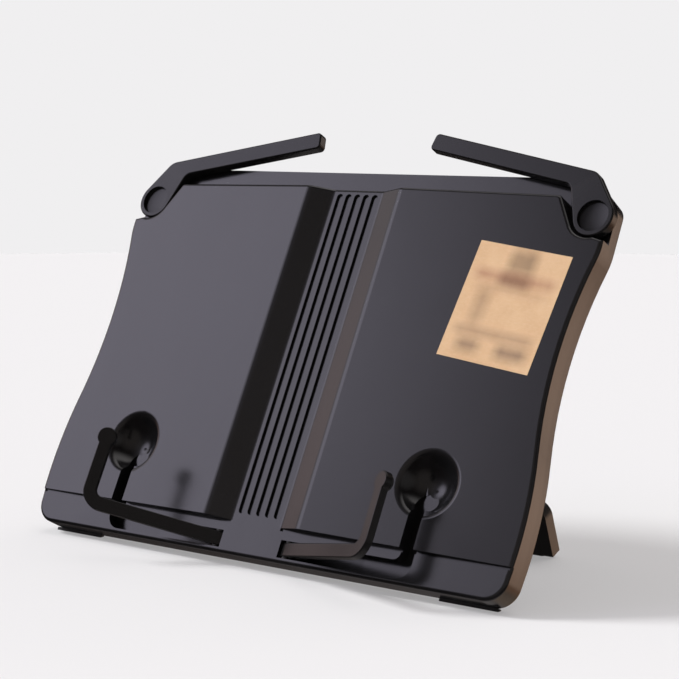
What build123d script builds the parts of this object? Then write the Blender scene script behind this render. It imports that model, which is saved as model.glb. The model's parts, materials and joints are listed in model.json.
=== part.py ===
import os
from math import asin, cos, radians, sin, tan

from build123d import *

os.makedirs("parts", exist_ok=True)

# Folding album stand. Every piece is drawn in the board's own frame: X to the right, Y up along
# the board, Z out of its front, with Z = 0 on the ledge. The whole stand is then leaned back.

# ---- stance
lean_back = 28.26          # board, degrees back from upright
leg_open = 49.6            # rear leg, degrees from the board
floor_drop = 7.9           # floor below the front lower edge of the board

# ---- board
board_width = 340.0
board_height = 244.3
front_depth = 10.0         # ledge face down to the parting line
cover_depth = 7.0          # parting line down to the rear face
shell_wall = 2.4
cover_wall = 2.0
corner_radius = 13.0
bulge_in = 0.5             # how far the sides draw in, from the foot up to the waist
flare_in = 4.0
waist_in = 8.2
foot_in = 1.6
side_out = 0.3             # sides below the arm notches
side_bend_drop = 7.5       # bend into the waist, below the notch
shoulder_round = 8.0
edge_round = 2.0
rear_round = 2.0

# ---- reading panels and spine channel
panel_bottom = 19.7
panel_top_gap = 14.3       # panel top edge below the board top
channel_half = 18.0
crest_half = 33.3
crest_height = 5.8
crest_round = 9.0
valley_round = 5.0
panel_edge_height = 0.7
panel_root = 3.0           # panel blank reaches this far into the ledge's wall
seam_width = 1.7
seam_depth = 1.3
groove_count = 5
groove_pitch = 6.4
groove_width = 4.2
groove_depth = 1.5
groove_margin_low = 4.6
groove_margin_high = 3.2

# ---- top arms
pivot_in = 10.2            # pivot in from the board side
pivot_drop = 25.3          # pivot down from the board top
arm_end_radius = 12.2
arm_thick = 6.5
arm_sink = 0.6             # arm face below the ledge face
arm_reach = 124.6
arm_bar = 10.8
arm_raise = 11.5           # degrees up from stowed
arm_neck_inner = 30.0      # degrees off the board's Y
arm_neck_outer = 47.1
arm_under_gap = 0.3
notch_gap = 1.2
dish_radius = 9.4
dish_depth = 2.5
cap_thick = 1.0
cap_gap = 0.15
arm_edge = 0.9
pivot_head = 1.2
pivot_head_d = 8.6
pivot_washer = 0.5
pivot_washer_d = 13.0
pivot_boss_d = 7.0
pivot_fit = 0.12
pivot_screw_d = 3.0

# ---- page holders
holder_x = 25.4            # hinge pin from the centre line
holder_sink = 2.2          # hinge pin below the ledge face
holder_y = 4.2
holder_bar = 8.0
holder_thick = 4.2
holder_reach = 83.1        # pin to the outer edge
holder_leg = 7.4
holder_knob_d = 11.2
holder_knob_y = 47.0
holder_elbow = 12.0
holder_inner_bend = 5.0
holder_edge = 0.7
holder_heel = 3.5          # bar past the pin
holder_open_left = 32.5
holder_open_right = 24.2
holder_pin_d = 2.0
holder_pin_fit = 0.05
holder_pin_seat = 2.0
slot_low_gap = 1.2
slot_high_gap = 1.0
slot_side_gap = 0.6
slot_end_gap = 0.8
slot_depth = 7.6
slot_ramp_depth = 6.7
tip_height = 3.0           # soft dome under the holder's end
tip_rim = 0.3
tip_seat = 0.8
knob_gap = 0.6
washer_wall = 1.0

# ---- finger dimples
dimple_out = 1.9           # bowl centre out from the middle of the slot
dimple_y = 56.3
dimple_radius = 17.6
dimple_depth = 11.6
dimple_round = 4.6         # rolled lip
dimple_wall = 1.9
web_width = 9.0            # flat web in a bowl's corner, beside the slot
web_top = 41.6
web_drop = 0.9             # below the panel

# ---- rear leg
hinge_y = 143.0
hinge_sink = 0.4           # hinge line behind the rear face
leg_thick = 8.0
stem_half = 26.0
foot_half = 125.0
foot_height = 34.0
foot_corner = 9.0
leg_gap = 0.8
leg_back_gap = 0.4
leg_wall = 2.6
leg_bolt_d = 3.0
leg_bolt_fit = 0.06
ear_thick = 6.0
ear_radius = 6.2
leg_washer = 0.5
bolt_head = 2.4
bolt_head_d = 6.0

# ---- rubber feet
pad_length = 37.3
pad_in = 47.3              # outer board side to the inner end of a front pad
pad_depth = 3.0
pad_front_in = 13.2        # ledge face back to the pad
foot_pad_length = 40.0
foot_pad_in = 8.0
foot_pad_depth = 5.0
foot_pad_stock = 2.6
foot_pad_room = 1.0        # clearance of a folded pad in its pocket

# ---- shell screws
screw_d = 2.9
screw_head_d = 5.6
screw_head = 2.0
screw_boss_d = 7.5
screw_pad = 2.0
screw_length = 9.0
screw_side_in = 16.0
screw_low = 26.0           # lowest row of screws above the board's lower edge
screw_top_x = 62.0
screw_top_drop = 30.0

# ---- paper label
label_width = 59.2
label_height = 70.2
label_thick = 0.2
label_x = 122.6
label_drop = 68.7          # label centre below the panel top
label_turn = -6.5

half_w = board_width / 2
rear_z = -front_depth - cover_depth
panel_top = board_height - panel_top_gap
pivot_x = half_w - pivot_in
pivot_y = board_height - pivot_drop
notch_radius = arm_end_radius + notch_gap
shelf_z = -arm_sink - arm_thick - arm_under_gap
arm_top = pivot_drop
slope = (crest_height - panel_edge_height) / (half_w - crest_half)
hinge_z = rear_z - hinge_sink
hinge_half = stem_half + leg_gap + ear_thick
label_y = panel_top - label_drop
dimple_x = holder_x + holder_reach - holder_leg / 2 + dimple_out
leg_lean = radians(leg_open - lean_back)
hinge_height = floor_drop + hinge_y * cos(radians(lean_back)) + hinge_z * sin(radians(lean_back))
leg_length = hinge_height / cos(leg_lean)
notch_low = pivot_y - notch_radius - 1.1
side_bend = notch_low - side_bend_drop
side_bend_round = 0.195 * notch_low
bulge_y = 0.230 * notch_low
flare_y = 0.396 * notch_low
waist_y = 0.636 * notch_low
screw_rows = (screw_low, 0.577 * notch_low, notch_low - 16.5)


def panel_z(x):
    """Height of the panel face over the ledge at distance x from the centre line."""
    return crest_height - (x - crest_half) * slope


def polar(cx, cy, radius, angle):
    return (cx + radius * cos(radians(angle)), cy + radius * sin(radians(angle)))


def side_arcs():
    """Waisted right side of the board, from the foot corner up to the arm notch."""
    foot = (half_w - foot_in, corner_radius)
    knee = (half_w - flare_in, flare_y)
    ThreePointArc(foot, (half_w - bulge_in, bulge_y), knee)
    ThreePointArc(knee, (half_w - waist_in, waist_y), (half_w + side_out, side_bend))
    Line((half_w + side_out, side_bend), (half_w + side_out, notch_low))


def side_bends(outline):
    return outline.vertices().filter_by(lambda v: abs(v.Y - side_bend) < 0.01)


def full_outline():
    """Board outline with the cut top corners."""
    with BuildSketch() as outline:
        with BuildLine():
            side_arcs()
            inner = half_w - foot_in - corner_radius
            RadiusArc((inner, 0), (inner + corner_radius, corner_radius), -corner_radius)
            a = arm_neck_outer
            reach = notch_radius - side_out
            side_x = half_w + side_out
            side_y = pivot_y + (reach - (side_x - pivot_x) * cos(radians(a))) / sin(radians(a))
            top_x = pivot_x + (reach - pivot_drop * sin(radians(a))) / cos(radians(a))
            Line((side_x, notch_low), (side_x, side_y))
            Line((side_x, side_y), (top_x, board_height))
            mirror(about=Plane.YZ)
            Line((-inner, 0), (inner, 0))
            Line((-top_x, board_height), (top_x, board_height))
        make_face()
        tops = outline.vertices().group_by(Axis.Y)[-1].sort_by(Axis.X)
        fillet([tops[0], tops[-1]], shoulder_round)
        sides = outline.vertices().filter_by(lambda v: abs(v.Y - side_y) < 0.01)
        fillet(sides, shoulder_round)
        fillet(side_bends(outline), side_bend_round)
    return outline.sketch


def front_outline():
    """Raised front of the board: it stops at the arm shelf and at the arm notches."""
    with BuildSketch() as outline:
        with BuildLine():
            side_arcs()
            inner = half_w - foot_in - corner_radius
            RadiusArc((inner, 0), (inner + corner_radius, corner_radius), -corner_radius)
            start = polar(pivot_x, pivot_y, notch_radius, -74)
            turn = -180 + arm_neck_inner
            end = polar(pivot_x, pivot_y, notch_radius, turn)
            Line((half_w + side_out, notch_low), start)
            ThreePointArc(start, polar(pivot_x, pivot_y, notch_radius, (turn - 74) / 2), end)
            rise = panel_top - end[1]
            shoulder = end[0] - rise * tan(radians(arm_neck_inner))
            Line(end, (shoulder, panel_top))
            mirror(about=Plane.YZ)
            Line((-inner, 0), (inner, 0))
            Line((-shoulder, panel_top), (shoulder, panel_top))
        make_face()
        tops = outline.vertices().group_by(Axis.Y)[-1].sort_by(Axis.X)
        fillet([tops[0], tops[-1]], 3.0)
        fillet(side_bends(outline), side_bend_round)
    return outline.sketch


slot_inner = holder_x - ((holder_heel**2 + (holder_thick / 2) ** 2) ** 0.5) - 0.4
slot_outer = holder_x + holder_reach + slot_end_gap
slot_left = holder_x + holder_reach - holder_leg - slot_side_gap
slot_low = holder_y - slot_low_gap
slot_high = holder_y + holder_bar + slot_high_gap


def slot_outline(side, grow):
    """L-shaped stowage slot of a page holder, seen from the front."""
    with BuildSketch() as slot:
        with BuildLine():
            Polyline(
                (side * (slot_inner - grow), slot_low - grow),
                (side * (slot_outer + grow), slot_low - grow),
                (side * (slot_outer + grow), dimple_y),
                (side * (slot_left - grow), dimple_y),
                (side * (slot_left - grow), slot_high + grow),
                (side * (slot_inner - grow), slot_high + grow),
                close=True,
            )
        make_face()
        low = slot.vertices().group_by(Axis.Y)[0].sort_by(Axis.X)
        fillet(low[-1] if side > 0 else low[0], holder_elbow - 3.2 + grow)
        bend = slot.vertices().sort_by_distance((side * (slot_left - grow), slot_high + grow))
        fillet(bend[0], holder_inner_bend - slot_side_gap - grow)
    return slot.sketch


def panel_plane(side, x, y):
    """Plane lying on the panel face, normal outwards."""
    z = panel_z(x)
    return Plane(
        origin=(side * x, y, z), x_dir=(1, 0, -side * slope), z_dir=(side * slope, 0, 1)
    )


def dimple_body(side, grow):
    """Finger bowl with a rolled lip, turned about the panel's normal."""
    plane = panel_plane(side, dimple_x, dimple_y)
    spin = Plane(origin=plane.origin, x_dir=plane.x_dir, z_dir=-plane.y_dir)
    deep = -dimple_depth - grow
    rim = dimple_radius + grow
    ball = (rim**2 + deep**2) / (2 * -deep)
    half_turn = asin(rim / ball) / 2
    middle = (ball * sin(half_turn), deep + ball * (1 - cos(half_turn)))
    flat = dimple_radius + 3 * dimple_round
    with BuildPart() as bowl:
        with BuildSketch(spin) as profile:
            with BuildLine():
                ThreePointArc((0, deep), middle, (rim, 0))
                Line((rim, 0), (flat, 0.03))
                Line((flat, 0.03), (flat, 1.5))
                Line((flat, 1.5), (0, 1.5))
                Line((0, 1.5), (0, deep))
            make_face()
            fillet(profile.vertices().sort_by_distance((rim, 0))[0], dimple_round)
        revolve(axis=Axis(plane.origin, plane.z_dir))
    return bowl.part


def pad_pockets(grow):
    """Outline of both foot pads lying folded against the board."""
    lowest = hinge_y - leg_length - foot_pad_depth / 2 * tan(leg_lean) - grow
    top = hinge_y - leg_length + foot_pad_stock + 1
    with BuildSketch() as pockets:
        for side in (-1, 1):
            mid = side * (foot_half - foot_pad_in - foot_pad_length / 2)
            with Locations((mid, (lowest + top) / 2)):
                Rectangle(foot_pad_length + 2 * grow, top - lowest)
    return pockets.sketch


screw_spots = [(s * (half_w - screw_side_in), y) for y in screw_rows for s in (-1, 1)]
screw_spots += [(s * screw_top_x, board_height - screw_top_drop) for s in (-1, 1)]
pivot_spots = [(-pivot_x, pivot_y), (pivot_x, pivot_y)]
boss_end = rear_z + cover_wall + screw_pad


def leg_outline(grow):
    """T-shaped rear leg lying folded against the board."""
    foot_low = hinge_y - leg_length
    with BuildSketch() as tee:
        with BuildLine():
            half = stem_half + grow
            wide = foot_half + grow
            low = foot_low + foot_pad_stock - grow
            high = foot_low + foot_pad_stock + foot_height + grow
            top = hinge_y
            Polyline(
                (-wide, low), (wide, low), (wide, high), (half, high),
                (half, top), (-half, top), (-half, high), (-wide, high),
                close=True,
            )
        make_face()
        corners = tee.vertices().filter_by(lambda v: abs(v.X) > wide - 0.01)
        fillet(corners.filter_by(lambda v: v.Y > high - 0.01), foot_corner + grow)
        fillet(corners.filter_by(lambda v: v.Y < low + 0.01), 3.0)
        roots = tee.vertices().filter_by(
            lambda v: abs(abs(v.X) - half) < 0.01 and abs(v.Y - high) < 0.01
        )
        fillet(roots, 14.0 - grow)
    return tee.sketch


def bowl_web(side):
    """Flat web that fills the low corner of a bowl on the right of its slot."""
    wall = slot_outer if side > 0 else -slot_left
    with BuildPart() as web:
        add(dimple_body(side, 0))
        with BuildSketch(Plane.XY.offset(-front_depth + shell_wall)):
            with Locations((wall + web_width / 2 - 1, web_top - web_width / 2)):
                Rectangle(web_width + 2, web_width)
        depth = panel_z(dimple_x) - web_drop + front_depth - shell_wall
        extrude(amount=depth, mode=Mode.INTERSECT)
    return web.part


# ================================================================ front shell
outer = full_outline()
raised = front_outline()

with BuildPart() as panels:
    with BuildSketch(Plane.XZ.offset(-panel_bottom)) as profile:
        with BuildLine():
            Polyline(
                (channel_half - 6, -panel_root), (channel_half - 6, 0), (channel_half, 0),
                (crest_half, crest_height),
                (half_w + 8, panel_z(half_w + 8)), (half_w + 8, -panel_root), close=True,
            )
        make_face()
        mirror(about=Plane.YZ)
        ridge = profile.vertices().filter_by(lambda v: abs(abs(v.X) - crest_half) < 0.01)
        fillet(ridge, crest_round)
        valley = profile.vertices().filter_by(
            lambda v: abs(abs(v.X) - channel_half) < 0.01 and abs(v.Y) < 0.01
        )
        fillet(valley, valley_round)
    extrude(amount=-(board_height - panel_bottom))
    with BuildSketch(Plane.XY.offset(-panel_root)):
        add(raised)
    extrude(amount=12, mode=Mode.INTERSECT)
    rims = panels.edges().filter_by(lambda e: e.center().Z > -0.01).filter_by(
        lambda e: abs(e.center().X) > pivot_x - 2 * notch_radius
        or e.center().Y > panel_top - 0.1
    )
    fillet(rims, edge_round)

with BuildPart() as hollow:
    with BuildSketch(Plane.XY.offset(-front_depth)):
        offset(raised, -shell_wall)
    extrude(amount=front_depth - shell_wall)
    with BuildSketch(Plane.XZ.offset(-panel_bottom - shell_wall)):
        with BuildLine():
            Polyline(
                (channel_half + 3, -shell_wall - 1), (channel_half + 3, -shell_wall),
                (crest_half + 1, crest_height - shell_wall - 0.6),
                (half_w - 20, panel_z(half_w - 20) - shell_wall),
                (half_w - 20, -shell_wall - 1), close=True,
            )
        make_face()
        mirror(about=Plane.YZ)
    extrude(amount=-(panel_top - panel_bottom - 2 * shell_wall), mode=Mode.ADD)
    with BuildSketch(Plane.XY.offset(-front_depth)):
        offset(raised, -shell_wall)
    extrude(amount=front_depth + crest_height, mode=Mode.INTERSECT)
    for side in (-1, 1):
        with BuildSketch(Plane.XY.offset(-front_depth)):
            add(slot_outline(side, shell_wall))
        extrude(amount=front_depth + crest_height, mode=Mode.SUBTRACT)
        add(dimple_body(side, dimple_wall), mode=Mode.SUBTRACT)
    with BuildSketch(Plane.XY.offset(-front_depth)):
        with Locations(*screw_spots):
            Circle(screw_boss_d / 2)
    extrude(amount=front_depth + crest_height, mode=Mode.SUBTRACT)

with BuildPart() as front_shell:
    with BuildSketch(Plane.XY.offset(shelf_z)):
        add(raised)
    extrude(amount=-shelf_z)
    fillet(front_shell.faces().sort_by(Axis.Z)[-1].outer_wire().edges(), edge_round)
    with BuildSketch(Plane.XY.offset(-front_depth)):
        add(outer)
    extrude(amount=front_depth + shelf_z)
    add(panels.part)
    add(hollow.part, mode=Mode.SUBTRACT)
    # bosses that the rear screws and the arm pivot screws bite into
    with BuildSketch(Plane.XY.offset(-front_depth)):
        with Locations(*screw_spots):
            Circle(screw_boss_d / 2)
    extrude(amount=-(-front_depth - boss_end))
    with BuildSketch(Plane.XY.offset(-front_depth)):
        with Locations(*pivot_spots):
            Circle(pivot_boss_d / 2 + 0.8)
    extrude(amount=-(-front_depth - boss_end))
    with BuildSketch(Plane.XY.offset(shelf_z)):
        with Locations(*pivot_spots):
            Circle(pivot_boss_d / 2)
    extrude(amount=arm_under_gap + arm_thick - dish_depth - cap_thick - pivot_head - pivot_washer)
    # spine grooves
    groove_low = panel_bottom + groove_margin_low
    groove_high = panel_top - groove_margin_high
    with BuildSketch(Plane.XY.offset(-groove_depth)):
        with Locations((0, (groove_low + groove_high) / 2)):
            with GridLocations(groove_pitch, 1, groove_count, 1):
                SlotOverall(groove_high - groove_low, groove_width, rotation=90)
    extrude(amount=groove_depth + 1, mode=Mode.SUBTRACT)
    # shadow seam under each panel
    with BuildSketch(Plane.XY.offset(-seam_depth)):
        seam_len = half_w - channel_half - 2.2
        for side in (-1, 1):
            with Locations((side * (channel_half + seam_len / 2), panel_bottom - seam_width / 2)):
                Rectangle(seam_len, seam_width)
    extrude(amount=seam_depth + 1, mode=Mode.SUBTRACT)
    for side in (-1, 1):
        add(dimple_body(side, 0), mode=Mode.SUBTRACT)
        add(bowl_web(side))
        with BuildSketch(Plane.XY.offset(-slot_depth)):
            add(slot_outline(side, 0))
        extrude(amount=slot_depth + crest_height + 1, mode=Mode.SUBTRACT)
        # pocket that the end of the folded holder drops into
        knob_floor = -holder_sink - holder_thick / 2 - tip_height - knob_gap
        with BuildSketch(Plane.XY.offset(knob_floor)):
            with Locations((side * (holder_x + holder_reach - holder_leg / 2), holder_knob_y)):
                Circle(holder_knob_d / 2 + slot_side_gap)
        extrude(amount=-knob_floor + crest_height, mode=Mode.SUBTRACT)
        # slot floor rises towards the hinge pin
        with BuildSketch(Plane.XZ.offset(-slot_low + 0.3)):
            with BuildLine():
                Polyline(
                    (side * (slot_inner - 0.5), -slot_depth - 0.5),
                    (side * (slot_inner - 0.5), -slot_ramp_depth),
                    (side * (holder_x + 8), -slot_ramp_depth),
                    (side * (slot_left - 4), -slot_depth - 0.5),
                    close=True,
                )
            make_face()
        extrude(amount=-(slot_high - slot_low + 0.6))
        pin_y = slot_low - holder_pin_seat
        with BuildSketch(Plane.XZ.offset(-pin_y)):
            with Locations((side * holder_x, -holder_sink)):
                Circle(holder_pin_d / 2)
        extrude(amount=-(slot_high - slot_low + 2 * holder_pin_seat), mode=Mode.SUBTRACT)
    with BuildSketch(Plane.XY.offset(boss_end)):
        with Locations(*screw_spots):
            Circle(screw_d / 2)
    extrude(amount=screw_length + 0.6 - screw_pad, mode=Mode.SUBTRACT)
    with BuildSketch(Plane.XY.offset(boss_end)):
        with Locations(*pivot_spots):
            Circle(pivot_screw_d / 2)
    extrude(amount=20, mode=Mode.SUBTRACT)

# ================================================================ rear cover
with BuildPart() as back_cover:
    with BuildSketch(Plane.XY.offset(-front_depth)):
        add(outer)
    extrude(amount=-cover_depth)
    fillet(back_cover.faces().sort_by(Axis.Z)[0].outer_wire().edges(), rear_round)
    with BuildSketch(Plane.XY.offset(-front_depth)):
        offset(outer, -cover_wall - 0.6)
    extrude(amount=-(cover_depth - cover_wall), mode=Mode.SUBTRACT)
    recess_floor = hinge_z + leg_thick / 2 + leg_back_gap
    with BuildSketch(Plane.XY.offset(rear_z)):
        add(leg_outline(leg_gap + cover_wall))
        add(pad_pockets(foot_pad_room + cover_wall))
        with Locations((0, hinge_y)):
            Rectangle(2 * (hinge_half + bolt_head + 3.5), 2 * (leg_thick / 2 + 3.4))
    extrude(amount=recess_floor - rear_z + cover_wall)
    with BuildSketch(Plane.XY.offset(rear_z)):
        with Locations(*screw_spots):
            Circle(screw_boss_d / 2 + 0.8)
    extrude(amount=cover_wall + screw_pad)
    for side in (-1, 1):
        ear_x = side * (stem_half + leg_gap)
        with BuildSketch(Plane.YZ.offset(ear_x)):
            with Locations((hinge_y, hinge_z)):
                Circle(ear_radius)
            with Locations((hinge_y, (hinge_z + rear_z + 2) / 2)):
                Rectangle(2 * ear_radius, abs(rear_z + 2 - hinge_z))
        extrude(amount=side * ear_thick)
    with BuildSketch(Plane.XY.offset(rear_z - 12)):
        add(leg_outline(leg_gap))
        add(pad_pockets(foot_pad_room))
        with Locations((0, hinge_y)):
            Rectangle(2 * (stem_half + leg_gap), 2 * (leg_thick / 2 + 1.4))
    extrude(amount=recess_floor - rear_z + 12, mode=Mode.SUBTRACT)
    with BuildSketch(Plane.XY.offset(rear_z - 1)):
        with Locations(*screw_spots):
            Circle(screw_d / 2)
    extrude(amount=cover_depth, mode=Mode.SUBTRACT)
    with BuildSketch(Plane.XY.offset(rear_z - 1)):
        with Locations(*screw_spots):
            Circle(screw_head_d / 2 + 0.2)
    extrude(amount=screw_head + 1.2, mode=Mode.SUBTRACT)
    with BuildSketch(Plane.YZ.offset(-hinge_half - 1)):
        with Locations((hinge_y, hinge_z)):
            Circle(leg_bolt_d / 2)
    extrude(amount=2 * (hinge_half + 1), mode=Mode.SUBTRACT)
    for side in (-1, 1):
        with BuildSketch(Plane.YZ.offset(side * hinge_half)):
            with Locations((hinge_y, hinge_z)):
                Circle(bolt_head_d / 2 + 0.4)
            with Locations((hinge_y, hinge_z - bolt_head_d / 2)):
                Rectangle(bolt_head_d + 0.8, bolt_head_d)
        extrude(amount=side * (bolt_head + 1.4), mode=Mode.SUBTRACT)

# ================================================================ screws of the shells
with BuildPart() as shell_screws:
    head_z = rear_z + 0.2
    with BuildSketch(Plane.XY.offset(head_z)):
        with Locations(*screw_spots):
            Circle(screw_head_d / 2)
    extrude(amount=screw_head)
    with BuildSketch(Plane.XY.offset(head_z)):
        with Locations(*screw_spots):
            Circle(screw_d / 2)
    extrude(amount=screw_head + screw_length)
    with BuildSketch(Plane.XY.offset(head_z)):
        with Locations(*screw_spots):
            Rectangle(3.2, 0.7)
            Rectangle(0.7, 3.2)
    extrude(amount=1.1, mode=Mode.SUBTRACT)

# ================================================================ arm pivots
washer_z = -arm_sink - dish_depth - cap_thick - pivot_head - pivot_washer
with BuildPart() as top_arm_washers:
    with BuildSketch(Plane.XY.offset(washer_z)):
        with Locations(*pivot_spots):
            Circle(pivot_washer_d / 2)
            Circle(pivot_screw_d / 2 + 0.1, mode=Mode.SUBTRACT)
    extrude(amount=pivot_washer)

with BuildPart() as top_arm_screws:
    with BuildSketch(Plane.XY.offset(washer_z + pivot_washer)):
        with Locations(*pivot_spots):
            Circle(pivot_head_d / 2)
    extrude(amount=pivot_head - 0.2)
    with BuildSketch(Plane.XY.offset(boss_end + 0.4)):
        with Locations(*pivot_spots):
            Circle(pivot_screw_d / 2)
    extrude(amount=washer_z + pivot_washer - boss_end)
    with BuildSketch(Plane.XY.offset(washer_z + pivot_washer + pivot_head - 0.2)):
        with Locations(*pivot_spots):
            Rectangle(4.2, 0.8)
            Rectangle(0.8, 4.2)
    extrude(amount=-0.6, mode=Mode.SUBTRACT)


def top_arm(side):
    """Cranked top arm in its stowed place."""
    def at(x, y):
        return (side * (pivot_x + x), pivot_y + y)

    a = radians(arm_neck_outer)
    r = arm_end_radius
    elbow_out = -(arm_top - r * sin(a)) * tan(a) + r * cos(a)
    foot = (-r * cos(radians(arm_neck_inner)), -r * sin(radians(arm_neck_inner)))
    bar_low = arm_top - arm_bar
    elbow_in = foot[0] - (bar_low - foot[1]) * tan(radians(arm_neck_inner))
    with BuildPart() as arm:
        with BuildSketch(Plane.XY.offset(-arm_sink - arm_thick)) as shape:
            with BuildLine():
                Polyline(
                    at(r * cos(a), r * sin(a)), at(elbow_out, arm_top),
                    at(-arm_reach, arm_top), at(-arm_reach, bar_low),
                    at(elbow_in, bar_low), at(*foot), at(0, 0), close=True,
                )
            make_face()
            ends = shape.vertices().sort_by(Axis.X)
            tips = ends[:2] if side > 0 else ends[-2:]
            fillet(tips, 2.6)
            bend = shape.vertices().sort_by_distance(at(elbow_in, bar_low))[0]
            fillet(bend, 6.0)
            bend = shape.vertices().sort_by_distance(at(elbow_out, arm_top))[0]
            fillet(bend, 9.0)
            with Locations(at(0, 0)):
                Circle(r)
        extrude(amount=arm_thick)
        fillet(arm.faces().sort_by(Axis.Z)[-1].outer_wire().edges(), arm_edge)
        fillet(arm.faces().sort_by(Axis.Z)[0].outer_wire().edges(), arm_edge)
        with BuildSketch(Plane.XY.offset(-arm_sink)):
            with Locations(at(0, 0)):
                Circle(dish_radius)
        extrude(amount=-dish_depth - cap_thick, mode=Mode.SUBTRACT)
        with BuildSketch(Plane.XY.offset(-arm_sink)):
            with Locations(at(0, 0)):
                Circle(pivot_washer_d / 2 + 0.3)
        extrude(amount=-(dish_depth + cap_thick + pivot_head + pivot_washer + 0.05),
                mode=Mode.SUBTRACT)
        with BuildSketch(Plane.XY.offset(-arm_sink)):
            with Locations(at(0, 0)):
                Circle(pivot_boss_d / 2 + pivot_fit)
        extrude(amount=-arm_thick, mode=Mode.SUBTRACT)
    return arm.part


def arm_cap(side):
    """Dished cap that closes the pivot of a top arm."""
    with BuildPart() as cap:
        with BuildSketch(Plane.XY.offset(-arm_sink - dish_depth - cap_thick)):
            with Locations((side * pivot_x, pivot_y)):
                Circle(dish_radius)
        extrude(amount=cap_thick)
        with BuildSketch(Plane.XZ.offset(-pivot_y)):
            with BuildLine():
                x0 = side * pivot_x
                z0 = -arm_sink - dish_depth
                rim = x0 + dish_radius - 0.2
                low = z0 - 0.5
                ThreePointArc((x0, low), ((x0 + rim) / 2, z0 - 0.38), (rim, z0 + 0.05))
                Polyline((rim, z0 + 0.05), (x0, z0 + 0.05), (x0, low))
            make_face()
        revolve(axis=Axis((side * pivot_x, pivot_y, 0), (0, 0, 1)), mode=Mode.SUBTRACT)
    return cap.part


def page_holder(side):
    """L-shaped page holder lying in its slot."""
    top_z = -holder_sink + holder_thick / 2
    low_z = top_z - holder_thick
    outer_x = holder_x + holder_reach
    knob_x = outer_x - holder_leg / 2
    with BuildPart() as arm:
        with BuildSketch(Plane.XY.offset(low_z)) as shape:
            with BuildLine():
                Polyline(
                    (side * (holder_x - holder_heel), holder_y),
                    (side * outer_x, holder_y),
                    (side * outer_x, holder_knob_y),
                    (side * (outer_x - holder_leg), holder_knob_y),
                    (side * (outer_x - holder_leg), holder_y + holder_bar),
                    (side * (holder_x - holder_heel), holder_y + holder_bar),
                    close=True,
                )
            make_face()
            bend = shape.vertices().sort_by_distance((side * outer_x, holder_y))[0]
            fillet(bend, holder_elbow)
            inner = (side * (outer_x - holder_leg), holder_y + holder_bar)
            fillet(shape.vertices().sort_by_distance(inner)[0], holder_inner_bend)
            with Locations((side * knob_x, holder_knob_y)):
                Circle(holder_knob_d / 2)
        extrude(amount=holder_thick)
        fillet(arm.faces().sort_by(Axis.Z)[-1].outer_wire().edges(), holder_edge)
        heel = arm.edges().filter_by(Axis.Y).filter_by(
            lambda e: abs(abs(e.center().X) - holder_x + holder_heel) < 0.02
        )
        fillet(heel, 0.9)
        with BuildSketch(Plane.XZ.offset(-holder_y + 1)):
            with Locations((side * holder_x, -holder_sink)):
                Circle(holder_pin_d / 2 + holder_pin_fit)
        extrude(amount=-holder_bar - 2, mode=Mode.SUBTRACT)
        with BuildSketch(Plane.XY.offset(low_z)):
            with Locations((side * knob_x, holder_knob_y)):
                Circle(holder_knob_d / 2 - tip_rim)
        extrude(amount=tip_seat, mode=Mode.SUBTRACT)
    return arm.part


def holder_tip(side):
    """Soft dome that the end of a page holder presses on the pages with."""
    low_z = -holder_sink - holder_thick / 2
    knob_x = side * (holder_x + holder_reach - holder_leg / 2)
    radius = holder_knob_d / 2 - tip_rim
    with BuildPart() as tip:
        with BuildSketch(Plane.XZ.offset(-holder_knob_y)):
            with BuildLine():
                ThreePointArc(
                    (knob_x, low_z - tip_height),
                    (knob_x + radius * 0.76, low_z - tip_height * 0.62),
                    (knob_x + radius, low_z),
                )
                Polyline(
                    (knob_x + radius, low_z), (knob_x + radius, low_z + tip_seat),
                    (knob_x, low_z + tip_seat), (knob_x, low_z - tip_height),
                )
            make_face()
        revolve(axis=Axis((knob_x, holder_knob_y, 0), (0, 0, 1)))
    return tip.part


with BuildPart() as holder_pins:
    with BuildSketch(Plane.XZ.offset(-(slot_low - holder_pin_seat))):
        with Locations((-holder_x, -holder_sink), (holder_x, -holder_sink)):
            Circle(holder_pin_d / 2)
    extrude(amount=-(slot_high - slot_low + 2 * holder_pin_seat))

with BuildPart() as holder_washers:
    for y0, tall in ((slot_low, slot_low_gap - 0.1), (slot_high, -(slot_high_gap - 0.1))):
        with BuildSketch(Plane.XZ.offset(-y0)):
            with Locations((-holder_x, -holder_sink), (holder_x, -holder_sink)):
                Circle(holder_pin_d / 2 + washer_wall)
                Circle(holder_pin_d / 2, mode=Mode.SUBTRACT)
        extrude(amount=-tall)

# ================================================================ rear leg
foot_low = hinge_y - leg_length + foot_pad_stock
with BuildPart() as leg_blank:
    with BuildSketch(Plane.XY.offset(hinge_z - leg_thick / 2)):
        add(leg_outline(0))
    extrude(amount=leg_thick)
    with BuildSketch(Plane.YZ.offset(-stem_half)):
        with Locations((hinge_y, hinge_z)):
            Circle(leg_thick / 2)
    extrude(amount=2 * stem_half)
    pocket_low = foot_low + foot_height + 4
    pocket_high = hinge_y - leg_thick / 2 - 5
    rib = 2.4
    cell = (pocket_high - pocket_low - 2 * rib) / 3
    with BuildSketch(Plane.XY.offset(hinge_z + leg_thick / 2)):
        with Locations((0, (pocket_low + pocket_high) / 2)):
            with GridLocations(stem_half + rib / 2 - leg_wall, cell + rib, 2, 3):
                RectangleRounded(stem_half - leg_wall - rib / 2, cell, 2.0)
    extrude(amount=-(leg_thick - leg_wall), mode=Mode.SUBTRACT)
    with BuildSketch(Plane.YZ.offset(-stem_half - 1)):
        with Locations((hinge_y, hinge_z)):
            Circle(leg_bolt_d / 2 + leg_bolt_fit)
    extrude(amount=2 * stem_half + 2, mode=Mode.SUBTRACT)

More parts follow.
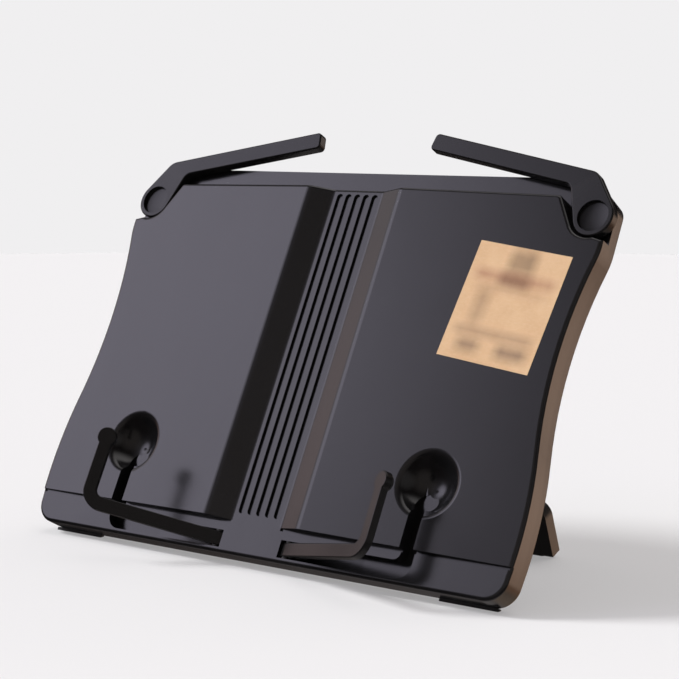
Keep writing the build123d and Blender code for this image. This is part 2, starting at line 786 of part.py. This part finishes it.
with BuildPart() as leg_hinge_bolt:
    with BuildSketch(Plane.YZ.offset(-hinge_half)):
        with Locations((hinge_y, hinge_z)):
            Circle(bolt_head_d / 2)
    extrude(amount=-bolt_head)
    with BuildSketch(Plane.YZ.offset(-hinge_half)):
        with Locations((hinge_y, hinge_z)):
            Circle(leg_bolt_d / 2)
    extrude(amount=2 * hinge_half + bolt_head + 0.8)
    fillet(leg_hinge_bolt.faces().sort_by(Axis.X)[0].edges(), 1.0)

with BuildPart() as leg_hinge_nut:
    with BuildSketch(Plane.YZ.offset(hinge_half)):
        with Locations((hinge_y, hinge_z)):
            RegularPolygon(bolt_head_d / 2, 6)
            Circle(leg_bolt_d / 2, mode=Mode.SUBTRACT)
    extrude(amount=bolt_head)

with BuildPart() as leg_washers:
    for side in (-1, 1):
        with BuildSketch(Plane.YZ.offset(side * (stem_half + leg_gap))):
            with Locations((hinge_y, hinge_z)):
                Circle(leg_thick / 2 - 0.4)
                Circle(leg_bolt_d / 2, mode=Mode.SUBTRACT)
        extrude(amount=-side * leg_washer)


def foot_pad(side):
    """Rubber strip under one end of the foot, before it is cut to the floor."""
    end = side * (foot_half - foot_pad_in)
    mid = end - side * foot_pad_length / 2
    with BuildPart() as pad:
        with BuildSketch(Plane.XZ.offset(-foot_low)):
            with Locations((mid, hinge_z)):
                Rectangle(foot_pad_length, foot_pad_depth)
        extrude(amount=foot_pad_stock + 6)
        edges = pad.edges().filter_by(Axis.Y)
        fillet(edges, 0.8)
    return pad.part


def front_pad(side):
    """Rubber strip under the lower edge of the board, before it is cut to the floor."""
    mid = side * (half_w - pad_in + pad_length / 2)
    with BuildPart() as pad:
        with BuildSketch(Plane.XZ):
            with Locations((mid, -pad_front_in - pad_depth / 2)):
                Rectangle(pad_length, pad_depth)
        extrude(amount=8)
        fillet(pad.edges().filter_by(Axis.Y), 0.8)
    return pad.part


with BuildPart() as label_blank:
    base = panel_plane(1, label_x, label_y)
    with BuildSketch(base):
        Rectangle(label_width, label_height, rotation=label_turn)
    extrude(amount=label_thick)

# ================================================================ stance
stand = Location((0, 0, floor_drop)) * Location((0, 0, 0), (90 - lean_back, 0, 0))


def about(x, y, z, axis, angle):
    """Turn about an axis through a point of the board frame."""
    turn = Location((0, 0, 0), tuple(angle * a for a in axis))
    return Location((x, y, z)) * turn * Location((-x, -y, -z))


leg_turn = about(0, hinge_y, hinge_z, (1, 0, 0), leg_open)
arm_turn = {s: about(s * pivot_x, pivot_y, 0, (0, 0, 1), -s * arm_raise) for s in (-1, 1)}
open_angle = {-1: holder_open_left, 1: holder_open_right}
holder_turn = {
    s: about(s * holder_x, 0, -holder_sink, (0, 1, 0), -s * open_angle[s]) for s in (-1, 1)
}

pieces = {
    "front_shell": stand * front_shell.part,
    "back_cover": stand * back_cover.part,
    "shell_screws": stand * shell_screws.part,
    "top_arm_washers": stand * top_arm_washers.part,
    "top_arm_screws": stand * top_arm_screws.part,
    "holder_pins": stand * holder_pins.part,
    "holder_washers": stand * holder_washers.part,
    "leg_hinge_bolt": stand * leg_hinge_bolt.part,
    "leg_hinge_nut": stand * leg_hinge_nut.part,
    "leg_washers": stand * leg_washers.part,
    "paper_label": stand * label_blank.part,
    "rear_leg": stand * leg_turn * leg_blank.part,
}
for side, word in ((-1, "left"), (1, "right")):
    pieces["top_arm_" + word] = stand * arm_turn[side] * top_arm(side)
    pieces["top_arm_cap_" + word] = stand * arm_turn[side] * arm_cap(side)
    pieces["page_holder_" + word] = stand * holder_turn[side] * page_holder(side)
    pieces["holder_tip_" + word] = stand * holder_turn[side] * holder_tip(side)
    pieces["front_pad_" + word] = stand * front_pad(side)
    pieces["foot_pad_" + word] = stand * leg_turn * foot_pad(side)

for name in ("front_pad_left", "front_pad_right", "foot_pad_left", "foot_pad_right"):
    with BuildPart() as pad:
        add(pieces[name])
        split(bisect_by=Plane.XY, keep=Keep.TOP)
    pieces[name] = pad.part

boxes = [piece.bounding_box() for piece in pieces.values()]
shift_x = -(min(b.min.X for b in boxes) + max(b.max.X for b in boxes)) / 2
shift_y = -(min(b.min.Y for b in boxes) + max(b.max.Y for b in boxes)) / 2
shift_z = -min(b.min.Z for b in boxes)
for name, piece in pieces.items():
    piece = Location((shift_x, shift_y, shift_z)) * piece
    piece.label = name
    export_step(piece, "parts/" + name + ".step")
    pieces[name] = piece
print("shift", round(shift_x, 4), round(shift_y, 4), round(shift_z, 4))
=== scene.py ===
import json
import math

import bmesh
import bpy
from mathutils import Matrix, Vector


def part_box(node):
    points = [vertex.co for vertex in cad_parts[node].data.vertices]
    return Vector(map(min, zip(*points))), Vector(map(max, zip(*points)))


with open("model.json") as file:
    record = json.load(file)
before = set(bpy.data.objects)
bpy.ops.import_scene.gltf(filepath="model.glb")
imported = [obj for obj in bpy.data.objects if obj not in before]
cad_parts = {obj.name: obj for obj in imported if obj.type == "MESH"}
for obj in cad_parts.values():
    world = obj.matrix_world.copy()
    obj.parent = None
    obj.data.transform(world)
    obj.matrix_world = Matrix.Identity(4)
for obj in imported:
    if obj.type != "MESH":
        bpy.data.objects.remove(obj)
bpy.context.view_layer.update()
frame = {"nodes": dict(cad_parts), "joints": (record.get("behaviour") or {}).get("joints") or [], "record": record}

nodes = frame["nodes"]
joints = {j["name"]: j for j in frame["joints"]}

# ---------------------------------------------------------------- frame of the board
# The board's own axes: X right, V up along the board, N out of its front.
LEAN = math.radians(28.26)
HINGE_UP = 0.143         # leg hinge, up the board from its front lower edge
HINGE_BEHIND = 0.0174    # and behind the ledge's face
X = Vector((1, 0, 0))
V = Vector((0, math.sin(LEAN), math.cos(LEAN)))
N = Vector((0, -math.cos(LEAN), math.sin(LEAN)))
hinge = Vector(joints["leg_fold"]["pos_m"])
# middle of the board's front lower edge
ORIGIN = Vector((0, hinge.y, hinge.z)) - V * HINGE_UP + N * HINGE_BEHIND


# ---------------------------------------------------------------- node material helper
class Mat:
    """A node material. Its helpers each add a node and return that node's output."""

    def __init__(self, name):
        self.mat = bpy.data.materials.new(name)
        self.mat.use_nodes = True
        self.tree = self.mat.node_tree
        self.shader = self.tree.nodes["Principled BSDF"]
        coord = self.tree.nodes.new("ShaderNodeTexCoord")
        self.coord = coord.outputs["Object"]

    def link(self, a, b):
        self.tree.links.new(a, b)

    def set(self, **values):
        for key, value in values.items():
            self.shader.inputs[key.replace("_", " ")].default_value = value

    def mapping(self, scale=(1, 1, 1), rotation=(0, 0, 0)):
        node = self.tree.nodes.new("ShaderNodeMapping")
        node.inputs["Scale"].default_value = scale
        node.inputs["Rotation"].default_value = rotation
        self.link(self.coord, node.inputs["Vector"])
        return node.outputs["Vector"]

    def noise(self, scale, detail=3.0, rough=0.5, vector=None, distortion=0.0):
        node = self.tree.nodes.new("ShaderNodeTexNoise")
        node.inputs["Scale"].default_value = scale
        node.inputs["Detail"].default_value = detail
        node.inputs["Roughness"].default_value = rough
        node.inputs["Distortion"].default_value = distortion
        self.link(vector if vector is not None else self.coord, node.inputs["Vector"])
        return node.outputs["Fac"]

    def voronoi(self, scale):
        node = self.tree.nodes.new("ShaderNodeTexVoronoi")
        node.inputs["Scale"].default_value = scale
        self.link(self.coord, node.inputs["Vector"])
        return node.outputs["Distance"]

    def ramp(self, fac, stops):
        node = self.tree.nodes.new("ShaderNodeValToRGB")
        els = node.color_ramp.elements
        while len(els) < len(stops):
            els.new(0.5)
        for el, (pos, colour) in zip(els, stops):
            el.position = pos
            el.color = (*colour, 1)
        self.link(fac, node.inputs["Fac"])
        return node.outputs["Color"]

    def remap(self, fac, low, high, from_low=0.0, from_high=1.0):
        """Clamped range: from_low gives low, from_high gives high."""
        node = self.tree.nodes.new("ShaderNodeMapRange")
        node.inputs["From Min"].default_value = from_low
        node.inputs["From Max"].default_value = from_high
        node.inputs["To Min"].default_value = low
        node.inputs["To Max"].default_value = high
        self.link(fac, node.inputs["Value"])
        return node.outputs["Result"]

    def math(self, op, a, b=0.0):
        node = self.tree.nodes.new("ShaderNodeMath")
        node.operation = op
        for socket, value in zip(node.inputs, (a, b)):
            if isinstance(value, (int, float)):
                socket.default_value = value
            else:
                self.link(value, socket)
        return node.outputs["Value"]

    def mix(self, fac, a, b):
        node = self.tree.nodes.new("ShaderNodeMix")
        node.data_type = "RGBA"
        for key, value in (("Factor", fac), ("A", a), ("B", b)):
            socket = [s for s in node.inputs if s.name == key and s.enabled][0]
            if isinstance(value, (int, float)):
                socket.default_value = value
            elif isinstance(value, tuple):
                socket.default_value = (*value, 1)
            else:
                self.link(value, socket)
        return [s for s in node.outputs if s.enabled][0]

    def pointiness(self, low, high):
        node = self.tree.nodes.new("ShaderNodeNewGeometry")
        return self.remap(node.outputs["Pointiness"], 0.0, 1.0, low, high)

    def bump(self, height, strength, distance, normal=None):
        node = self.tree.nodes.new("ShaderNodeBump")
        node.inputs["Strength"].default_value = strength
        node.inputs["Distance"].default_value = distance
        self.link(height, node.inputs["Height"])
        if normal is not None:
            self.link(normal, node.inputs["Normal"])
        return node.outputs["Normal"]

    def finish(self, colour=None, rough=None, normal=None):
        if colour is not None:
            self.link(colour, self.shader.inputs["Base Color"])
        if rough is not None:
            self.link(rough, self.shader.inputs["Roughness"])
        if normal is not None:
            self.link(normal, self.shader.inputs["Normal"])
        return self.mat


def plastic(name, base, rough, grain, grain_scale, tint=(1.0, 1.0, 1.0), gloss=0.5):
    """Moulded black plastic: a fine grain, faint flow clouds, and slightly paler edges.

    base is its reflectance and rough its roughness; grain is the bump of the texture.
    """
    m = Mat(name)
    cloud = m.noise(9.0, 4.0, 0.55, distortion=0.4)
    dark = tuple(base * 0.82 * t for t in tint)
    light = tuple(base * 1.2 * t for t in tint)
    colour = m.ramp(cloud, ((0.3, dark), (0.7, light)))
    edge = m.pointiness(0.52, 0.6)
    colour = m.mix(m.math("MULTIPLY", edge, 0.35), colour, tuple(base * 2.6 * t for t in tint))
    smear = m.noise(38.0, 5.0, 0.6, m.mapping((1, 0.35, 0.35)), 0.8)
    fine = m.noise(420.0, 2.0, 0.5)
    rough_value = m.math("ADD", m.remap(smear, rough - 0.035, rough + 0.035),
                         m.remap(fine, -0.012, 0.012))
    texture = m.noise(grain_scale, 2.0, 0.6)
    pits = m.voronoi(grain_scale * 0.7)
    height = m.math("ADD", texture, m.math("MULTIPLY", pits, 0.5))
    normal = m.bump(height, grain, 0.00012)
    normal = m.bump(m.noise(22.0, 2.0, 0.4), 0.05, 0.0006, normal)
    m.set(Specular_IOR_Level=gloss, IOR=1.5)
    return m.finish(colour, rough_value, normal)


def rubber(name, base, rough, grain_scale):
    m = Mat(name)
    cloud = m.noise(60.0, 4.0, 0.6)
    colour = m.ramp(cloud, ((0.3, (base * 0.7,) * 3), (0.75, (base * 1.35,) * 3)))
    normal = m.bump(m.noise(grain_scale, 3.0, 0.65), 0.35, 0.0002)
    m.set(Specular_IOR_Level=0.35, Sheen_Weight=0.05)
    return m.finish(colour, m.remap(cloud, rough - 0.06, rough + 0.08), normal)


def steel(name):
    m = Mat(name)
    streak = m.noise(700.0, 3.0, 0.6, m.mapping((1, 0.08, 0.08)))
    cloud = m.noise(90.0, 3.0, 0.5)
    colour = m.ramp(cloud, ((0.3, (0.42, 0.42, 0.43)), (0.7, (0.62, 0.61, 0.6))))
    m.set(Metallic=1.0)
    return m.finish(colour, m.remap(streak, 0.22, 0.42), m.bump(streak, 0.12, 0.0001))


def kraft(name, centre, right, up, half_w, half_h):
    """Uncoated tan paper with fibres and soft faded smudges, no lettering."""
    m = Mat(name)
    fibres = m.noise(900.0, 4.0, 0.7, m.mapping((0.4, 1.0, 1.0), (0, 0.3, 0)))
    mottling = m.noise(70.0, 5.0, 0.6)
    paper = m.ramp(mottling, ((0.25, (0.70, 0.455, 0.26)), (0.75, (0.80, 0.55, 0.33))))
    paper = m.mix(m.remap(fibres, 0.0, 0.35, 0.45, 0.75), paper, (0.84, 0.62, 0.42))

    def along(direction, half):
        """Place on the label along a direction: -1 and 1 at its edges."""
        dot = m.tree.nodes.new("ShaderNodeVectorMath")
        dot.operation = "DOT_PRODUCT"
        m.link(m.coord, dot.inputs[0])
        dot.inputs[1].default_value = direction
        centre_value = centre.dot(direction)
        return m.remap(dot.outputs["Value"], -1.0, 1.0, centre_value - half, centre_value + half)

    across, upward = along(right, half_w), along(up, half_h)

    def window(value, mid, half, soft):
        """1 near mid, falling to 0 over the soft edges."""
        off = m.math("ABSOLUTE", m.math("SUBTRACT", value, mid))
        return m.remap(off, 1.0, 0.0, half - soft, half + soft)

    wobble = m.remap(m.noise(120.0, 2.0, 0.5), 0.6, 1.0)
    smudges = (
        # across, half width, up, half height, softness, weight, tone
        (0.05, 0.28, 0.76, 0.20, 0.12, 0.55, (0.28, 0.19, 0.12)),
        (0.0, 0.86, 0.46, 0.09, 0.08, 0.40, (0.40, 0.18, 0.12)),
        (0.02, 0.34, 0.42, 0.12, 0.10, 0.55, (0.24, 0.13, 0.085)),
        (0.0, 0.76, 0.24, 0.05, 0.08, 0.25, (0.46, 0.27, 0.17)),
        (-0.50, 0.14, -0.08, 0.30, 0.14, 0.45, (0.38, 0.25, 0.16)),
        (0.0, 0.84, -0.50, 0.07, 0.08, 0.45, (0.34, 0.21, 0.14)),
        (-0.45, 0.24, -0.74, 0.10, 0.10, 0.55, (0.27, 0.18, 0.125)),
        (0.50, 0.32, -0.74, 0.10, 0.10, 0.60, (0.24, 0.16, 0.115)),
    )
    side_soft, strength = 0.12, 1.6
    for x, half_x, y, half_y, soft, weight, tone in smudges:
        inside = m.math("MULTIPLY", window(across, x, half_x, side_soft),
                        window(upward, y, half_y, soft))
        fac = m.math("MULTIPLY", m.math("MULTIPLY", inside, wobble), weight * strength)
        paper = m.mix(fac, paper, tone)
    normal = m.bump(m.math("ADD", fibres, mottling), 0.3, 0.00015)
    m.set(Specular_IOR_Level=0.2)
    return m.finish(paper, m.remap(fibres, 0.78, 0.95), normal)


shell = plastic("shell_black", 0.006, 0.19, 0.03, 2600.0, (1.0, 0.97, 1.06))
cover = plastic("cover_black", 0.009, 0.24, 0.06, 1500.0, (1.0, 0.97, 1.03))
arm = plastic("arm_black", 0.0075, 0.20, 0.03, 2600.0, (1.0, 0.96, 0.98), 0.28)
# The leg's base is a little darker than the shell's and warm-tinted: painted shade and a painted warm reflection,
# for the leg's dark brown look in the board's shadow.
leg = plastic("leg_black", 0.005, 0.30, 0.2, 1500.0, (1.0, 0.92, 0.84), 0.3)
tip = rubber("tip_rubber", 0.016, 0.38, 900.0)
pad = rubber("pad_rubber", 0.02, 0.6, 700.0)
nylon = plastic("washer_nylon", 0.012, 0.4, 0.05, 2200.0)
metal = steel("steel")

LABEL_TURN = math.radians(-6.5)
LABEL_HALF = (0.0296, 0.0351)
label_low, label_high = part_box("paper_label")
label_right = X * math.cos(LABEL_TURN) + V * math.sin(LABEL_TURN)
label_up = V * math.cos(LABEL_TURN) - X * math.sin(LABEL_TURN)
label = kraft("kraft", (label_low + label_high) / 2, label_right, label_up, *LABEL_HALF)

by_slot = {
    "shell_black": shell, "cover_black": cover, "arm_black": arm, "leg_black": leg,
    "washer_nylon": nylon, "tip_rubber": tip, "pad_rubber": pad, "steel": metal, "kraft": label,
}
for part in frame["record"]["subparts"]:
    obj = nodes[part["node"]]
    obj.data.materials.clear()
    obj.data.materials.append(by_slot[part["material_slot"]])
    obj.data.polygons.foreach_set("use_smooth", [True] * len(obj.data.polygons))


# ---------------------------------------------------------------- stage
PALE = (0.871, 0.863, 0.871)         # backdrop, and the floor away from the shadow
FLOOR_TONE = (0.5, 0.5, 0.5)
FLOOR_TINT = (1.0, 0.991, 1.0, 1.0)
FLOOR_GLOW = 0.316                   # keeps the floor as pale as the backdrop
FLOOR_RADIUS = 2.4
BACKDROP_RADIUS = 9.0
TURNS = 64


def stage_object(name, rows, mat):
    """A surface turned about the Z axis from a line of (radius, z) points."""
    mesh = bpy.data.meshes.new(name)
    bm = bmesh.new()
    angles = [2 * math.pi * k / TURNS for k in range(TURNS)]
    rings = [[bm.verts.new((radius * math.cos(a), radius * math.sin(a), z)) for a in angles]
             for radius, z in rows]
    for inner, outer in zip(rings, rings[1:]):
        for k in range(TURNS):
            n = (k + 1) % TURNS
            bm.faces.new((inner[k], inner[n], outer[n], outer[k]))
    bm.faces.new(rings[0])
    bm.to_mesh(mesh)
    bm.free()
    obj = bpy.data.objects.new(name, mesh)
    bpy.context.scene.collection.objects.link(obj)
    mesh.materials.append(mat)
    return obj


# The floor shows the shadow. The backdrop around it has the floor's own brightness, and only
# the camera sees it.
floor = Mat("floor_pale")
tone = floor.ramp(floor.noise(3.0, 2.0, 0.5), ((0.4, FLOOR_TONE), (0.6, FLOOR_TONE)))
floor.set(Specular_IOR_Level=0.0, Emission_Color=FLOOR_TINT, Emission_Strength=FLOOR_GLOW)
floor_mat = floor.finish(tone, floor.remap(floor.noise(40.0), 0.8, 0.9))
ground = stage_object("stage_floor", [(0.8, 0.0), (FLOOR_RADIUS, 0.0)], floor_mat)
ground.visible_glossy = False

drop = Mat("backdrop_pale")
drop.set(Base_Color=(0, 0, 0, 1), Specular_IOR_Level=0.0, Roughness=1.0, Emission_Strength=1.0)
glow_tone = drop.ramp(drop.noise(0.5), ((0.4, PALE), (0.6, PALE)))
drop.link(glow_tone, drop.shader.inputs["Emission Color"])
drop_rows = [(0.5, -0.02), (BACKDROP_RADIUS, -0.02), (BACKDROP_RADIUS, BACKDROP_RADIUS)]
backdrop = stage_object("stage_backdrop", drop_rows, drop.mat)
for flag in ("visible_glossy", "visible_diffuse", "visible_shadow", "visible_transmission"):
    setattr(backdrop, flag, False)

# ---------------------------------------------------------------- studio light
ROOM = (0.035, 0.028, 0.026)
SUN_POWER = 3.2
SUN_ANGLE = math.radians(15)
SUN_TOWARDS = (0.80, 0.28, -0.62)

world = bpy.data.worlds.new("studio")
bpy.context.scene.world = world
world.use_nodes = True
sky = world.node_tree
direction = sky.nodes.new("ShaderNodeTexCoord").outputs["Generated"]


def glow(total, towards, core, edge, colour):
    """Add a soft light patch around a direction, from angle core out to angle edge."""
    dot = sky.nodes.new("ShaderNodeVectorMath")
    dot.operation = "DOT_PRODUCT"
    sky.links.new(direction, dot.inputs[0])
    dot.inputs[1].default_value = Vector(towards).normalized()
    fade = sky.nodes.new("ShaderNodeMapRange")
    fade.interpolation_type = "SMOOTHSTEP"
    fade.inputs["From Min"].default_value = math.cos(math.radians(edge))
    fade.inputs["From Max"].default_value = math.cos(math.radians(core))
    sky.links.new(dot.outputs["Value"], fade.inputs["Value"])
    scale = sky.nodes.new("ShaderNodeVectorMath")
    scale.operation = "SCALE"
    scale.inputs[0].default_value = colour
    sky.links.new(fade.outputs["Result"], scale.inputs["Scale"])
    plus = sky.nodes.new("ShaderNodeVectorMath")
    plus.operation = "ADD"
    sky.links.new(total, plus.inputs[0])
    sky.links.new(scale.outputs["Vector"], plus.inputs[1])
    return plus.outputs["Vector"]


base = sky.nodes.new("ShaderNodeCombineXYZ")
for socket, value in zip(base.inputs, ROOM):
    socket.default_value = value
light = base.outputs["Vector"]


def facing(azimuth, elevation):
    """Direction from an azimuth about Z, counted from +X, and an elevation, in degrees."""
    a, e = math.radians(azimuth), math.radians(elevation)
    return (math.cos(a) * math.cos(e), math.sin(a) * math.cos(e), math.sin(e))


PATCHES = (
    # direction, core and edge angle in degrees, colour
    (facing(-146, 32), 3, 22, (2.15, 2.05, 2.5)),         # broad softbox, front left
    (facing(-135, 36), 5, 40, (0.22, 0.21, 0.24)),        # its spill
    (facing(178, 24), 4, 26, (0.78, 0.72, 0.76)),         # side panel, left
    (facing(-176, 9), 3, 18, (0.35, 0.18, 0.15)),         # warm bounce, left
    (facing(60, -9), 4, 18, (1.2, 0.92, 0.74)),           # card behind, right
    (facing(62, -20), 4, 26, (0.8, 0.42, 0.24)),          # warm bounce under it
    (facing(82, -40), 4, 28, (0.55, 0.32, 0.12)),         # warm bounce, lower
    (facing(90, -75), 25, 55, (0.28, 0.26, 0.26)),        # floor behind the board
    (facing(-8, 12), 6, 34, (0.26, 0.25, 0.25)),          # wall on the right
    (facing(60, 15), 2, 12, (2.4, 1.95, 1.75)),           # small card over it
    (facing(90, 62), 12, 46, (1.3, 1.25, 1.25)),          # overhead, behind
    (facing(-70, 20), 10, 50, (0.24, 0.215, 0.205)),     # room in front
)
for towards, core, edge, colour in PATCHES:
    light = glow(light, towards, core, edge, colour)
sky.links.new(light, sky.nodes["Background"].inputs["Color"])
sky.nodes["Background"].inputs["Strength"].default_value = 1.0

sun_data = bpy.data.lights.new("key_light", "SUN")
sun_data.energy = SUN_POWER
sun_data.angle = SUN_ANGLE
sun = bpy.data.objects.new("key_light", sun_data)
bpy.context.scene.collection.objects.link(sun)
sun.visible_glossy = False
sun.rotation_euler = Vector(SUN_TOWARDS).to_track_quat("-Z", "Y").to_euler()

# ---------------------------------------------------------------- camera
CAMERA_FROM_ORIGIN = Vector((0.6446, -0.7792, 0.2469))
AZIMUTH, ELEVATION = math.radians(36.6), math.radians(6.98)
SENSOR, LENS = 36.0, 97.34

camera_data = bpy.data.cameras.new("camera")
camera = bpy.data.objects.new("camera", camera_data)
bpy.context.scene.collection.objects.link(camera)
bpy.context.scene.camera = camera
camera_data.sensor_width = SENSOR
camera_data.lens = LENS
camera_data.clip_start, camera_data.clip_end = 0.05, 30.0
camera.location = ORIGIN + CAMERA_FROM_ORIGIN
forward = Vector((-math.sin(AZIMUTH) * math.cos(ELEVATION),
                  math.cos(AZIMUTH) * math.cos(ELEVATION), -math.sin(ELEVATION)))
camera.rotation_euler = forward.to_track_quat("-Z", "Y").to_euler()

bpy.context.scene.view_settings.view_transform = "Standard"
